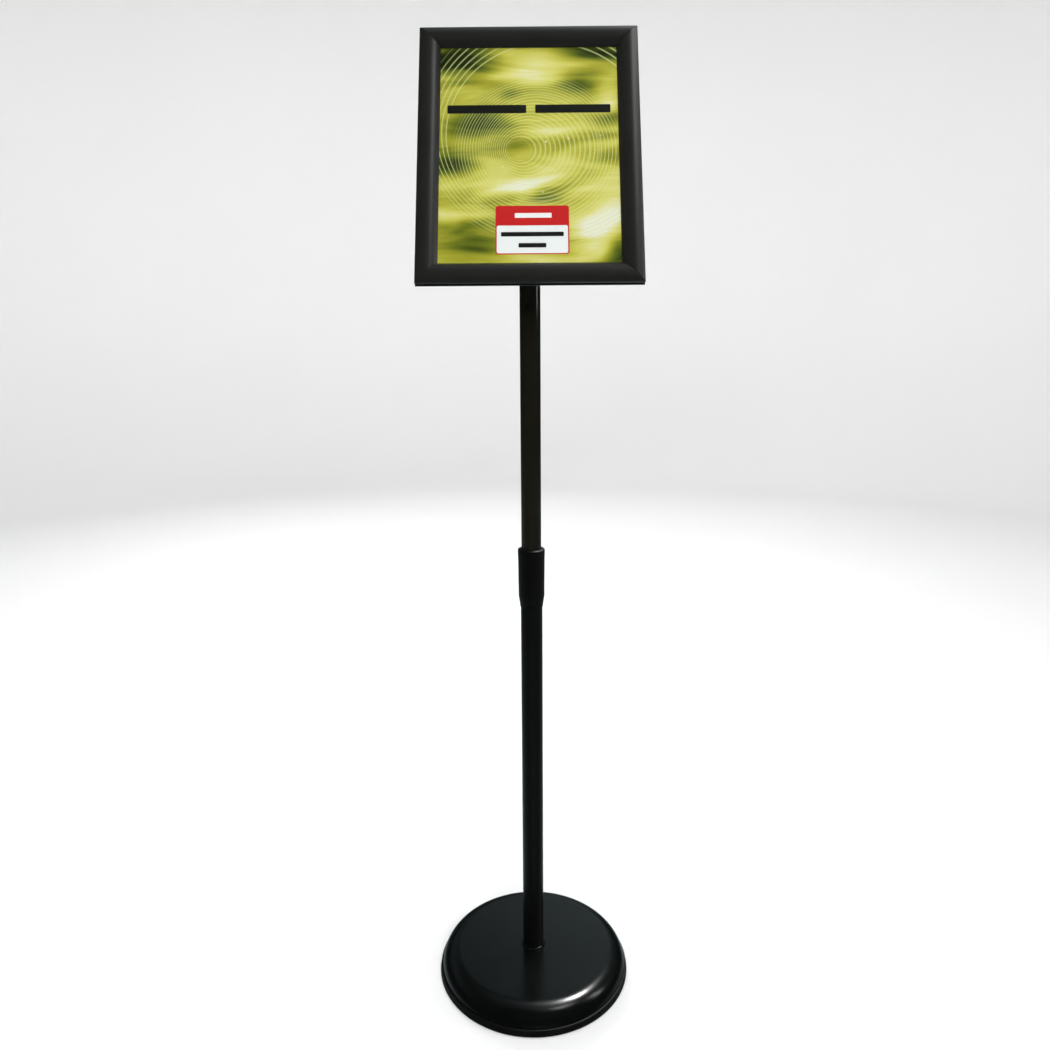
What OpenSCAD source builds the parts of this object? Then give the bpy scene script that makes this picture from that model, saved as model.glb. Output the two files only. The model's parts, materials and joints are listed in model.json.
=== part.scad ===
// Floor-standing sign holder: a weighted round base, a telescoping pole with a twist-lock collar,
// and a snap frame that tilts, turns to landscape and opens along its four rails.
// The origin is on the pole's axis at floor level, and the sign faces -Y.

/* [Base] */
// Outer diameter of the rim ring
base_d = 255; // [250:1:300]
// Height of the flat top of the base above the floor
base_top = 31; // [28:0.5:34]
// Width of the rounded edge of the base shell
dome_edge = 24; // [18:1:30]
// Height of the top of the rim ring
rim_top = 9; // [8:0.5:11]
// How far the rim ring stands out past the shell
rim_lip = 3.5; // [3:0.5:4]
// Thickness of the pressed steel shell
shell_wall = 1.2; // [1:0.1:1.5]
// Diameter of the cast iron weight
weight_d = 196; // [160:2:200]
// Number of rubber feet
foot_count = 6; // [4:1:8]

/* [Pole] */
// Outer diameter of the lower tube
lower_d = 27.4; // [27:0.1:28]
// Wall of both tubes
tube_wall = 0.8; // [0.7:0.05:0.9]
// Height of the open top end of the lower tube
lower_top = 548; // [546:1:552]
// Outer diameter of the upper tube
upper_d = 24.8; // [24.4:0.1:24.8]
// Height of the bottom end of the upper tube as the stand is set
upper_low = 470; // [466:1:480]

/* [Twist lock] */
// Height of the lower end of the collar
collar_low = 515.7; // [514:0.1:517]
// Length of the collar
collar_len = 74.7; // [74:0.1:76]
// Outer diameter of the collar at its top
collar_d = 34; // [34:0.1:36]

/* [Tilt head] */
// Height of the tilt pivot as the stand is set
pivot_z = 1035; // [1020:1:1050]
// Distance from the tilt pivot to the back plane of the frame
reach = 43; // [42:0.5:46]
// Lean of the frame back from upright
lean = 21.5; // [0:0.5:45]
// Diameter of the pivot bolt
bolt_d = 6; // [5:0.5:6]
// Diameter of the tilt knob
knob_d = 28; // [24:1:30]

/* [Snap frame] */
// Width of the sheet that the frame holds
sheet_w = 216; // [210:1:216]
// Height of the sheet that the frame holds
sheet_h = 279; // [279:1:297]
// Face width of a rail
rail_w = 24.5; // [24.5:0.1:25]
// How far each rail reaches over the sheet
sheet_overlap = 9; // [8.5:0.1:9.5]

/* [Hidden] */
$fn = 96;

// Slack between parts that are assembled together, and in a running fit
seat_gap = 0.05;
run_gap = 0.06;

// Base, measured outwards from the pole's axis and up from the floor
shell_r = base_d / 2 - rim_lip;
ring_low = 0.6;
ring_floor = 2.4;
ring_r = base_d / 2;
ring_ledge_r = shell_r - 6;
ring_draft = 1.5;
plate_low = ring_low + ring_floor;
plate_t = 2;
foot_h = plate_low;
foot_r = 9;
foot_ring_r = shell_r - 20;
weight_top = base_top - shell_wall;
weight_low = 12;
washer_t = 1.5;
base_bolt_r = 5;
bolt_head_h = 6.4;
insert_h = 22;
access_r = 16;
junction_h = 2.6;
junction_lip = 2;

// Pole
lower_r = lower_d / 2;
lower_bore = lower_r - tube_wall;
upper_r = upper_d / 2;
upper_bore = upper_r - tube_wall;
upper_top = pivot_z - 20;
bush_h = 20;

// Twist lock
collar_top = collar_low + collar_len;
collar_r = collar_d / 2;
seat_top = lower_top + 22;
seat_r = lower_r + 1.4;
thread_h = 0.25;
thread_pitch = 3;
thread_turns = 5;
collet_low = seat_top + 0.3;
collet_h = 12;
collet_low_r = upper_r + 2.4;
collet_top_r = upper_r + 1.4;
collet_slot_w = 1.5;
collar_cone_r = upper_r + 1.8;

// Tilt head, measured from the pivot
ear_in = 7;
ear_t = 4;
ear_r = 10;
head_flange_h = 4;
head_plug_h = 30;
head_plug_wall = 3;
ear_w = 16;
ear_foot = pivot_z - upper_top - head_flange_h + 1;
bolt_r = bolt_d / 2;
bolt_hex_r = bolt_d * 0.96;
bolt_hex_h = 4;
knuckle_half = 6;
knuckle_r = 9;
knuckle_w = 14;
pivot_washer_r = 8;
knuckle_disc_r = 20;
knuckle_disc_back = 24;
knuckle_disc_t = 4;
spigot_r = 9;
spigot_len = 10;
knob_len = 18;
knob_gap = 0.4;
knob_neck_h = 5;
flute_count = 12;
flute_r = 2.6;
flute_out = 1.4;
hub_r = 24;
hub_plate = 84;
hub_plate_t = 2.5;
rivet_r = 2;
rivet_spacing = 66;
rivet_head_h = 1.2;
swivel_screw_r = 2.5;
swivel_washer_r = 13;
swivel_washer_t = 1.2;
screw_head_r = 4.6;
screw_head_h = 3;
screw_slot_len = 7;
screw_slot_w = 1.2;
spigot_end = knuckle_disc_back + knuckle_disc_t + spigot_len;
hub_back = knuckle_disc_back + knuckle_disc_t + 0.3;

// Snap frame section: s runs inwards from the outer edge, h runs forward from the back plane
frame_w = sheet_w + 2 * (rail_w - sheet_overlap);
frame_h = sheet_h + 2 * (rail_w - sheet_overlap);
floor_t = 1.2;
floor_w = 20.5;
hinge_s = 2.5;
hinge_h = 3.9;
bead_r = 1.1;
claw_in = bead_r + 0.1;
claw_out = 2.4;
web_s = 10;
web_t = 1.2;
flange_w = 5;
flange_low = 3.4;
flange_top = 4.2;
panel_low = 1.3;
panel_t = 2;
sheet_low = panel_low + panel_t + seat_gap;
sheet_t = 0.25;
clear_low = sheet_low + sheet_t + seat_gap;
clear_t = 0.5;
panel_back = reach + panel_low - seat_gap;
arch_r = 16;
arch_s = 10.5;
arch_h = -3.7;
cover_wall = 1.4;
lip_low = 4.35;
// Opened rails stay clear of each other at the corners when no part of a section has s + h under this
open_line = hinge_s + hinge_h + seat_gap;
mitre_gap = 0.1;
leg_s = 8.2;
leg_t = 1;
leg_low = 8.1;
clip_len = 28;
clip_t = 0.6;
clip_r = 3.1;
clip_s = 8.4;
clip_h = 4.5;
key_arm = 34;
key_in = 3.4;
key_w = 6;
key_t = 1.2;

function dome_outline(r, top, low, edge) = [
    for (a = [0:6:90]) [r - edge + edge * cos(a), low + (top - low) * sin(a)]
];

// ---- Base ----

module base_shell() {
    color("#17191b")
    rotate_extrude($fn = 180)
    polygon(concat(
        [[base_bolt_r + 0.4, base_top - shell_wall], [base_bolt_r + 0.4, base_top]],
        [for (i = [15:-1:0]) dome_outline(shell_r, base_top, rim_top, dome_edge)[i]],
        [[shell_r, plate_low + plate_t + 0.1], [shell_r - shell_wall, plate_low + plate_t + 0.1]],
        dome_outline(shell_r - shell_wall, base_top - shell_wall, rim_top, dome_edge)
    ));
}

module base_weight() {
    color("#3c3d3f")
    difference() {
        translate([0, 0, weight_low]) cylinder(h = weight_top - weight_low - seat_gap, d = weight_d);
        cylinder(h = base_top, r = base_bolt_r + 0.5);
    }
}

module base_bottom_plate() {
    color("#242424")
    translate([0, 0, plate_low])
    difference() {
        cylinder(h = plate_t, r = shell_r - shell_wall - 0.3);
        translate([0, 0, -1]) cylinder(h = plate_t + 2, r = access_r);
    }
}

module base_rim_ring() {
    color("#0e0f10")
    rotate_extrude($fn = 180)
    difference() {
        polygon([
            [ring_ledge_r, ring_low],
            [ring_r - 0.5, ring_low],
            [ring_r, ring_low + 0.5],
            [ring_r - ring_draft, rim_top - 1],
            [ring_r - ring_draft - 0.8, rim_top],
            [ring_ledge_r, rim_top]
        ]);
        translate([ring_ledge_r - 1, plate_low])
            square([shell_r + seat_gap - ring_ledge_r + 1, rim_top]);
    }
}

module base_feet() {
    color("#1b1b1b")
    for (i = [0:foot_count - 1])
        rotate([0, 0, i * 360 / foot_count])
        translate([foot_ring_r, 0, 0]) {
            cylinder(h = 1, r1 = foot_r - 1, r2 = foot_r, $fn = 48);
            translate([0, 0, 1]) cylinder(h = foot_h - 1, r = foot_r, $fn = 48);
        }
}

module base_bolt() {
    color("#8d9094") {
        translate([0, 0, weight_low - washer_t - bolt_head_h])
            cylinder(h = bolt_head_h, r = base_bolt_r * 1.96, $fn = 6);
        translate([0, 0, weight_low - washer_t])
            cylinder(h = base_top + insert_h - weight_low, r = base_bolt_r);
    }
}

module base_washer() {
    color("#a3a6a9")
    translate([0, 0, weight_low - washer_t])
    difference() {
        cylinder(h = washer_t, r = access_r - 1);
        translate([0, 0, -1]) cylinder(h = washer_t + 2, r = base_bolt_r + 0.4);
    }
}

module pole_foot_ring() {
    color("#1a1c1e")
    rotate_extrude()
    difference() {
        union() {
            translate([lower_r + seat_gap, base_top]) square([junction_lip, junction_h - 1]);
            translate([lower_r + seat_gap, base_top]) square([junction_lip - 1, junction_h]);
            translate([lower_r + seat_gap + junction_lip - 1, base_top + junction_h - 1])
                circle(r = 1, $fn = 32);
        }
        translate([0, base_top]) square([lower_r + seat_gap, junction_h]);
    }
}

// ---- Pole ----

module tube(r, bore, low, top) {
    translate([0, 0, low])
    difference() {
        cylinder(h = top - low, r = r);
        translate([0, 0, -1]) cylinder(h = top - low + 2, r = bore);
    }
}

module lower_tube() {
    color("#141516") tube(lower_r, lower_bore, base_top, lower_top);
}

module lower_tube_insert() {
    color("#77797c") tube(lower_bore - seat_gap, base_bolt_r + seat_gap, base_top, base_top + insert_h);
}

module upper_tube() {
    color("#1c1a19") tube(upper_r, upper_bore, upper_low, upper_top);
}

module guide_bush() {
    color("#d8d8d2")
    rotate_extrude()
    polygon([
        [upper_bore - 2, upper_low - 3],
        [lower_bore - run_gap, upper_low - 3],
        [lower_bore - run_gap, upper_low],
        [upper_bore - seat_gap, upper_low],
        [upper_bore - seat_gap, upper_low + bush_h],
        [upper_bore - 2, upper_low + bush_h]
    ]);
}

// ---- Twist lock ----

module clutch_seat() {
    color("#3a3a3a") {
        rotate_extrude()
        polygon([
            [lower_r + seat_gap, collar_low + 12],
            [seat_r, collar_low + 12],
            [seat_r, seat_top],
            [upper_r + run_gap, seat_top],
            [upper_r + run_gap, lower_top + seat_gap],
            [lower_r + seat_gap, lower_top + seat_gap]
        ]);
        for (i = [0:thread_turns - 1])
            translate([0, 0, collar_low + 16 + i * thread_pitch])
            rotate_extrude()
            polygon([
                [seat_r - 0.1, -0.8],
                [seat_r + thread_h, 0],
                [seat_r - 0.1, 0.8]
            ]);
    }
}

module clutch_collet() {
    color("#c9c9c2")
    difference() {
        translate([0, 0, collet_low]) cylinder(h = collet_h, r1 = collet_low_r, r2 = collet_top_r);
        translate([0, 0, collet_low - 1]) cylinder(h = collet_h + 2, r = upper_r + run_gap);
        for (a = [45:90:315])
            rotate([0, 0, a])
            translate([0, -collet_slot_w / 2, collet_low + 3])
            cube([collet_low_r + 1, collet_slot_w, collet_h]);
    }
}

module clutch_collar() {
    color("#101112")
    rotate_extrude()
    difference() {
        polygon([
            [lower_r + 0.3, collar_low],
            [lower_r + 0.7, collar_low + 0.4],
            [lower_r + 1, collar_low + 4],
            [lower_r + 1.8, collar_low + 8.5],
            [lower_r + 2.7, collar_low + 13.5],
            [collar_r - 0.45, collar_low + 21],
            [collar_r - 0.5, collar_low + 39],
            [collar_r - 0.3, collar_low + 61],
            [collar_r, collar_low + 70],
            [collar_r, collar_top - 2],
            [collar_r - 0.5, collar_top - 0.8],
            [collar_r - 1.6, collar_top],
            [upper_r + 0.3, collar_top],
            [upper_r + 0.3, collar_low]
        ]);
        polygon([
            [0, collar_low - 1],
            [lower_r + 0.3, collar_low - 1],
            [lower_r + 0.3, collar_low + 8],
            [seat_r + 0.5, collar_low + 10],
            [seat_r + 0.5, collet_low + 2],
            [collar_cone_r, collet_low + collet_h + 0.6],
            [0, collet_low + collet_h + 0.6]
        ]);
    }
}

// ---- Tilt head ----

module at_pivot() {
    translate([0, 0, pivot_z]) children();
}

// A ring around the pivot's axis, from x0 to x1
module pivot_ring(x0, x1, r, bore) {
    translate([x0, 0, 0])
    rotate([0, 90, 0])
    difference() {
        cylinder(h = x1 - x0, r = r);
        translate([0, 0, -1]) cylinder(h = x1 - x0 + 2, r = bore);
    }
}

module pole_head() {
    color("#161718") {
        tube(upper_bore - seat_gap, upper_bore - head_plug_wall, upper_top - head_plug_h, upper_top);
        translate([0, 0, upper_top]) cylinder(h = head_flange_h, r = upper_r);
        at_pivot()
        for (x0 = [-ear_in - ear_t, ear_in]) {
            pivot_ring(x0, x0 + ear_t, ear_r, bolt_r + run_gap);
            translate([x0, -ear_w / 2, -ear_foot])
            difference() {
                cube([ear_t, ear_w, ear_foot]);
                translate([-1, ear_w / 2, ear_foot]) rotate([0, 90, 0])
                    cylinder(h = ear_t + 2, r = ear_r - 1);
            }
        }
    }
}

module pivot_bolt() {
    color("#9a9da0")
    at_pivot()
    rotate([0, 90, 0]) {
        translate([0, 0, -ear_in - ear_t - bolt_hex_h]) cylinder(h = bolt_hex_h, r = bolt_hex_r, $fn = 6);
        translate([0, 0, -ear_in - ear_t]) cylinder(h = 2 * (ear_in + ear_t) + 14, r = bolt_r);
    }
}

module pivot_washers() {
    color("#dadad4")
    at_pivot() {
        pivot_ring(knuckle_half + 0.1, ear_in - seat_gap, pivot_washer_r, bolt_r + run_gap);
        pivot_ring(-ear_in + seat_gap, -knuckle_half - 0.1, pivot_washer_r, bolt_r + run_gap);
    }
}

module tilt_knob() {
    color("#111213")
    at_pivot()
    translate([ear_in + ear_t + knob_gap, 0, 0])
    rotate([0, 90, 0])
    difference() {
        union() {
            cylinder(h = knob_neck_h, r = knob_d * 0.32);
            translate([0, 0, knob_neck_h]) cylinder(h = knob_len - knob_neck_h - 1, d = knob_d);
            translate([0, 0, knob_len - 1]) cylinder(h = 1, d1 = knob_d, d2 = knob_d - 2);
        }
        translate([0, 0, -1]) cylinder(h = 15, r = bolt_r + run_gap);
        for (i = [0:flute_count - 1])
            rotate([0, 0, i * 360 / flute_count])
            translate([knob_d / 2 + flute_out, 0, knob_neck_h - 1])
            cylinder(h = knob_len, r = flute_r, $fn = 32);
    }
}

// Frame directions from the pivot: +Z points out of the sign's face, +Y up along the sign
module from_pivot() {
    at_pivot() rotate([90 - lean, 0, 0]) children();
}

module tilt_knuckle() {
    color("#161718")
    from_pivot()
    difference() {
        union() {
            pivot_ring(-knuckle_half, knuckle_half, knuckle_r, bolt_r + run_gap);
            translate([-knuckle_half, -knuckle_w / 2, 0])
                cube([2 * knuckle_half, knuckle_w, knuckle_disc_back]);
            translate([0, 0, knuckle_disc_back]) cylinder(h = knuckle_disc_t, r = knuckle_disc_r);
            translate([0, 0, knuckle_disc_back + knuckle_disc_t]) cylinder(h = spigot_len, r = spigot_r);
        }
        translate([-knuckle_half - 1, 0, 0]) rotate([0, 90, 0])
            cylinder(h = 2 * knuckle_half + 2, r = bolt_r + run_gap);
        translate([0, 0, knuckle_disc_back]) cylinder(h = 20, r = swivel_screw_r + seat_gap);
    }
}

module swivel_washer() {
    color("#a3a6a9")
    from_pivot()
    translate([0, 0, spigot_end])
    difference() {
        cylinder(h = swivel_washer_t, r = swivel_washer_r);
        translate([0, 0, -1]) cylinder(h = 4, r = swivel_screw_r + 0.2);
    }
}

module swivel_screw() {
    color("#8d9094")
    from_pivot() {
        translate([0, 0, knuckle_disc_back + 1]) cylinder(h = spigot_len + 5, r = swivel_screw_r);
        translate([0, 0, spigot_end + swivel_washer_t])
        difference() {
            cylinder(h = screw_head_h, r = screw_head_r);
            for (a = [0, 90])
                translate([0, 0, screw_head_h]) rotate([0, 0, a])
                cube([screw_slot_len, screw_slot_w, screw_head_h], center = true);
        }
    }
}

module swivel_hub() {
    color("#18191a")
    from_pivot()
    difference() {
        union() {
            translate([0, 0, hub_back]) cylinder(h = panel_back - hub_back, r1 = hub_r - 3, r2 = hub_r);
            translate([-hub_plate / 2, -hub_plate / 2, panel_back - hub_plate_t])
                cube([hub_plate, hub_plate, hub_plate_t]);
        }
        translate([0, 0, hub_back - 1]) cylinder(h = 20, r = spigot_r + run_gap);
        translate([0, 0, spigot_end - 0.3]) cylinder(h = 20, r = swivel_washer_r + 1);
        rivet_places() translate([0, 0, panel_back - hub_plate_t - 1])
            cylinder(h = hub_plate_t + 2, r = rivet_r + seat_gap, $fn = 32);
    }
}

module rivet_places() {
    for (x = [-rivet_spacing / 2, rivet_spacing / 2], y = [-rivet_spacing / 2, rivet_spacing / 2])
        translate([x, y, 0]) children();
}

module hub_rivets() {
    color("#b4b6b8")
    from_pivot()
    rivet_places() {
        translate([0, 0, panel_back - hub_plate_t - seat_gap])
            cylinder(h = hub_plate_t + panel_t + 2 * seat_gap, r = rivet_r, $fn = 32);
        translate([0, 0, panel_back - hub_plate_t - rivet_head_h])
            cylinder(h = rivet_head_h - seat_gap, r1 = rivet_r + 0.8, r2 = rivet_r + 1.8, $fn = 32);
    }
}

// ---- Snap frame ----

// Flat plan of the frame: +Z forward from its back plane, +Y towards its top edge
module frame_plan() {
    from_pivot() translate([0, 0, reach]) children();
}

// Puts a rail that is drawn along the left edge on the edge that is named
module on_edge(edge) {
    if (edge == "left") translate([-frame_w / 2, 0, 0]) children();
    if (edge == "right") mirror([1, 0, 0]) translate([-frame_w / 2, 0, 0]) children();
    if (edge == "bottom") translate([0, -frame_h / 2, 0]) rotate([0, 0, 90]) children();
    if (edge == "top") mirror([0, 1, 0]) translate([0, -frame_h / 2, 0]) rotate([0, 0, 90]) children();
}

function edge_len(edge) = (edge == "left" || edge == "right") ? frame_h : frame_w;

// A section in s and h, run along the edge for a length about its middle
module run_section(len) {
    rotate([90, 0, 0]) linear_extrude(height = len, center = true) children();
}

// A section run along a whole edge and mitred at both ends
module mitred(len) {
    half = len / 2 - mitre_gap;
    intersection() {
        run_section(len) children();
        translate([0, 0, -1])
        linear_extrude(height = 16)
        polygon([[-1, -half - 1], [-1, half + 1], [rail_w, half - rail_w], [rail_w, rail_w - half]]);
    }
}

module base_section() {
    square([floor_w, floor_t]);
    translate([hinge_s - 0.5, 0]) square([1, hinge_h]);
    translate([hinge_s, hinge_h]) circle(r = bead_r, $fn = 40);
    translate([web_s, 0]) square([web_t, flange_top]);
    translate([web_s, flange_low]) square([flange_w, flange_top - flange_low]);
}

module arch_area(r) {
    translate([arch_s, arch_h]) circle(r = r, $fn = 180);
}

module cover_arch() {
    difference() {
        intersection() {
            arch_area(arch_r);
            translate([0, lip_low]) square([rail_w, arch_r]);
        }
        intersection() {
            arch_area(arch_r - cover_wall);
            translate([cover_wall, 0]) square([rail_w, arch_r]);
        }
    }
}

module cover_section() {
    difference() {
        union() {
            cover_arch();
            intersection() {
                translate([hinge_s, hinge_h]) circle(r = claw_out, $fn = 64);
                translate([0, hinge_h]) square([rail_w, claw_out]);
            }
        }
        translate([hinge_s, hinge_h]) circle(r = claw_in, $fn = 40);
        polygon([[-1, 0], [open_line, 0], [-1, open_line + 1]]);
    }
    translate([leg_s, leg_low]) square([leg_t, arch_h + arch_r - cover_wall - leg_low]);
}

module base_rail(edge) {
    color("#2a2b2a") frame_plan() on_edge(edge) mitred(edge_len(edge)) base_section();
}

module cover_rail(edge) {
    color("#2f302f") frame_plan() on_edge(edge) mitred(edge_len(edge)) cover_section();
}

module back_panel() {
    inset = web_s + web_t + 0.3;
    color("#1d1d1d")
    frame_plan()
    difference() {
        translate([inset - frame_w / 2, inset - frame_h / 2, panel_low])
            cube([frame_w - 2 * inset, frame_h - 2 * inset, panel_t]);
        rivet_places() cylinder(h = 10, r = rivet_r + seat_gap, $fn = 32);
    }
}

module poster_sheet() {
    color("#aaa653")
    frame_plan()
    translate([-sheet_w / 2, -sheet_h / 2, sheet_low]) cube([sheet_w, sheet_h, sheet_t]);
}

module clear_cover() {
    color("#dfe6e6", 0.35)
    frame_plan()
    translate([-sheet_w / 2, -sheet_h / 2, clear_low]) cube([sheet_w, sheet_h, clear_t]);
}

module corner_key() {
    low = floor_t + seat_gap;
    translate([key_in, key_in, low]) cube([key_arm, key_w, key_t]);
    translate([key_in, key_in, low]) cube([key_w, key_arm, key_t]);
}

module corner_keys() {
    color("#8f9294")
    frame_plan()
    for (mx = [0, 1], my = [0, 1])
        mirror([mx, 0, 0]) mirror([0, my, 0])
        translate([-frame_w / 2, -frame_h / 2, 0]) corner_key();
}

module clip_section() {
    intersection() {
        difference() {
            translate([clip_s, clip_h]) circle(r = clip_r, $fn = 64);
            translate([clip_s, clip_h]) circle(r = clip_r - clip_t, $fn = 64);
        }
        translate([0, clip_h - clip_r]) square([clip_s, 2 * clip_r]);
    }
    translate([clip_s, clip_h - clip_r]) square([web_s - clip_s - 0.2, clip_t]);
    translate([clip_s, clip_h + clip_r - clip_t]) square([1.2, clip_t]);
}

module rail_springs() {
    color("#b9bcbe")
    frame_plan()
    for (edge = ["left", "right", "top", "bottom"])
        on_edge(edge)
        for (side = [-1, 1])
            translate([0, side * edge_len(edge) / 4, 0]) run_section(clip_len) clip_section();
}

// ---- Assembly ----

base_shell();
base_weight();
base_bottom_plate();
base_rim_ring();
base_feet();
base_bolt();
base_washer();
pole_foot_ring();
lower_tube();
lower_tube_insert();
clutch_seat();
clutch_collet();
clutch_collar();
upper_tube();
guide_bush();
pole_head();
pivot_bolt();
pivot_washers();
tilt_knob();
tilt_knuckle();
swivel_washer();
swivel_screw();
swivel_hub();
hub_rivets();
back_panel();
base_rail("left");  // base_rail_left
base_rail("right");  // base_rail_right
base_rail("top");  // base_rail_top
base_rail("bottom");  // base_rail_bottom
cover_rail("left");  // cover_rail_left
cover_rail("right");  // cover_rail_right
cover_rail("top");  // cover_rail_top
cover_rail("bottom");  // cover_rail_bottom
corner_keys();
rail_springs();
poster_sheet();
clear_cover();
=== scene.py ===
import json
import math

import bmesh
import bpy
from mathutils import Matrix, Quaternion, Vector


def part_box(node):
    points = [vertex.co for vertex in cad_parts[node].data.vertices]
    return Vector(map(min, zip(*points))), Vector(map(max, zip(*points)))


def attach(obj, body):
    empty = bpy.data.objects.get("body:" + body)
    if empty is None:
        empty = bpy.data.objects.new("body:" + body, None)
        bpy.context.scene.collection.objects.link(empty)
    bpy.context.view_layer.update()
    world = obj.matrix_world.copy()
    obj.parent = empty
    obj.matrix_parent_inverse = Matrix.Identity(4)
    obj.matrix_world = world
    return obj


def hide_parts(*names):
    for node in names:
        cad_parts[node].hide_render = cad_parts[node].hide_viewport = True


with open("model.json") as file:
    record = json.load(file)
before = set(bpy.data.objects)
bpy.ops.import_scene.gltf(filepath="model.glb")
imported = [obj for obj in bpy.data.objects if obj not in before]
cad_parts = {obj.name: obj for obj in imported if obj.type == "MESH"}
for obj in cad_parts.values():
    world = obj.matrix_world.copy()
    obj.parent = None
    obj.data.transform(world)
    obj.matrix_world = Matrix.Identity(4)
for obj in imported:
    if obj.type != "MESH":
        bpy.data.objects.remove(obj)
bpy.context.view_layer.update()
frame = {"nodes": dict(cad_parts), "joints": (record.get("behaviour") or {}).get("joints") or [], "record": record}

MM = 0.001
joints = {j["name"]: j for j in frame["joints"]}

# ---------------------------------------------------------------- camera

CAMERA_AT = (0.0, -1.0337, 0.8616)
CAMERA_PITCH = math.radians(10.6)
CAMERA_YAW = math.radians(-0.41)
CAMERA_ROLL = math.radians(-0.39)
SENSOR_MM = 36.0
LENS_MM = 29.14
SHIFT_Y = -0.0358


def make_camera():
    forward = Vector(
        (
            math.sin(CAMERA_YAW) * math.cos(CAMERA_PITCH),
            math.cos(CAMERA_YAW) * math.cos(CAMERA_PITCH),
            -math.sin(CAMERA_PITCH),
        )
    )
    level = Vector((math.cos(CAMERA_YAW), -math.sin(CAMERA_YAW), 0))
    rise = level.cross(forward)
    across = level * math.cos(CAMERA_ROLL) + rise * math.sin(CAMERA_ROLL)
    up = rise * math.cos(CAMERA_ROLL) - level * math.sin(CAMERA_ROLL)
    data = bpy.data.cameras.new("camera")
    data.sensor_width = SENSOR_MM
    data.lens = LENS_MM
    data.shift_y = SHIFT_Y
    camera = bpy.data.objects.new("camera", data)
    camera.matrix_world = Matrix((across, up, -forward)).transposed().to_4x4()
    camera.location = CAMERA_AT
    bpy.context.scene.collection.objects.link(camera)
    bpy.context.scene.camera = camera


# ---------------------------------------------------------------- outlines


def arc(cx, cy, r, start, end, steps):
    """Points on a circle, from one angle to another, in degrees."""
    angles = [math.radians(start + (end - start) * i / steps) for i in range(steps + 1)]
    return [(cx + r * math.cos(a), cy + r * math.sin(a)) for a in angles]


def filleted(corners, steps=6):
    """A closed outline from (x, y, radius) corners, with an arc at each one that has a radius."""
    points = []
    count = len(corners)
    for i, (x, y, r) in enumerate(corners):
        here = Vector((x, y))
        if r <= 0:
            points.append((x, y))
            continue
        back = (Vector(corners[i - 1][:2]) - here).normalized()
        on = (Vector(corners[(i + 1) % count][:2]) - here).normalized()
        half = back.angle(on) / 2
        reach = r / math.tan(half)
        centre = here + (back + on).normalized() * (r / math.sin(half))
        first = here + back * reach - centre
        last = here + on * reach - centre
        turn = math.atan2(first.x * last.y - first.y * last.x, first.dot(last))
        start = math.atan2(first.y, first.x)
        for k in range(steps + 1):
            a = start + turn * k / steps
            points.append((centre.x + r * math.cos(a), centre.y + r * math.sin(a)))
    return points


# ---------------------------------------------------------------- meshes


def add_piece(name, bm, matrix=None, crease=35):
    """A mesh object whose faces are smooth, with edges sharper than crease degrees left sharp."""
    bmesh.ops.recalc_face_normals(bm, faces=bm.faces)
    limit = math.radians(crease)
    for face in bm.faces:
        face.smooth = True
    for edge in bm.edges:
        if len(edge.link_faces) == 2 and edge.calc_face_angle(0) > limit:
            edge.smooth = False
    mesh = bpy.data.meshes.new(name)
    bm.to_mesh(mesh)
    bm.free()
    piece = bpy.data.objects.new(name, mesh)
    if matrix is not None:
        piece.matrix_world = matrix
    bpy.context.scene.collection.objects.link(piece)
    return piece


def bridge_rings(bm, rings, closed):
    """Quads between rings of vertices; closed joins the last ring to the first."""
    count = len(rings)
    for i in range(count if closed else count - 1):
        a, b = rings[i], rings[(i + 1) % count]
        for k in range(len(a)):
            n = (k + 1) % len(a)
            bm.faces.new((a[k], a[n], b[n], b[k]))


def lathe(name, outline, segments=192, matrix=None, swell=None):
    """Turns a closed (radius, height) outline in millimetres about +Z. swell gives a new radius."""
    bm = bmesh.new()
    rings = []
    for i in range(segments):
        a = 2 * math.pi * i / segments
        ring = []
        for r, z in outline:
            radius = swell(a, r) if swell else r
            point = Vector((radius * math.cos(a), radius * math.sin(a), z)) * MM
            ring.append(bm.verts.new(point))
        rings.append(ring)
    bridge_rings(bm, rings, True)
    return add_piece(name, bm, matrix)


def extrude(name, outline, low, high, matrix, bevel):
    """A plate from a closed (x, y) outline in millimetres, from low to high, with bevelled rims."""
    bm = bmesh.new()
    levels = [(low, bevel), (low + bevel, 0), (high - bevel, 0), (high, bevel)]
    rings = []
    inset_outline = inset(outline, bevel)
    for z, b in levels:
        shape = inset_outline if b else outline
        rings.append([bm.verts.new(Vector((x, y, z)) * MM) for x, y in shape])
    bridge_rings(bm, rings, False)
    bm.faces.new(rings[0])
    bm.faces.new(rings[-1])
    return add_piece(name, bm, matrix)


def inset(outline, amount):
    """The outline moved inwards by amount, along the mean of its neighbours' normals."""
    area = sum(
        outline[i - 1][0] * outline[i][1] - outline[i][0] * outline[i - 1][1]
        for i in range(len(outline))
    )
    side = 1 if area > 0 else -1
    moved = []
    count = len(outline)
    for i in range(count):
        here = Vector(outline[i])
        back = here - Vector(outline[i - 1])
        on = Vector(outline[(i + 1) % count]) - here
        a = Vector((-back.y, back.x)).normalized() * side
        b = Vector((-on.y, on.x)).normalized() * side
        mean = (a + b).normalized()
        reach = amount / max(0.5, mean.dot(a))
        moved.append((here.x + mean.x * reach, here.y + mean.y * reach))
    return moved


# ---------------------------------------------------------------- materials


def map_range(tree, source, low, high, a, b):
    """Maps source from low..high to a..b, held at the ends."""
    node = tree.nodes.new("ShaderNodeMapRange")
    node.inputs["From Min"].default_value = low
    node.inputs["From Max"].default_value = high
    node.inputs["To Min"].default_value = a
    node.inputs["To Max"].default_value = b
    tree.links.new(source, node.inputs["Value"])
    return node.outputs["Result"]


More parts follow.
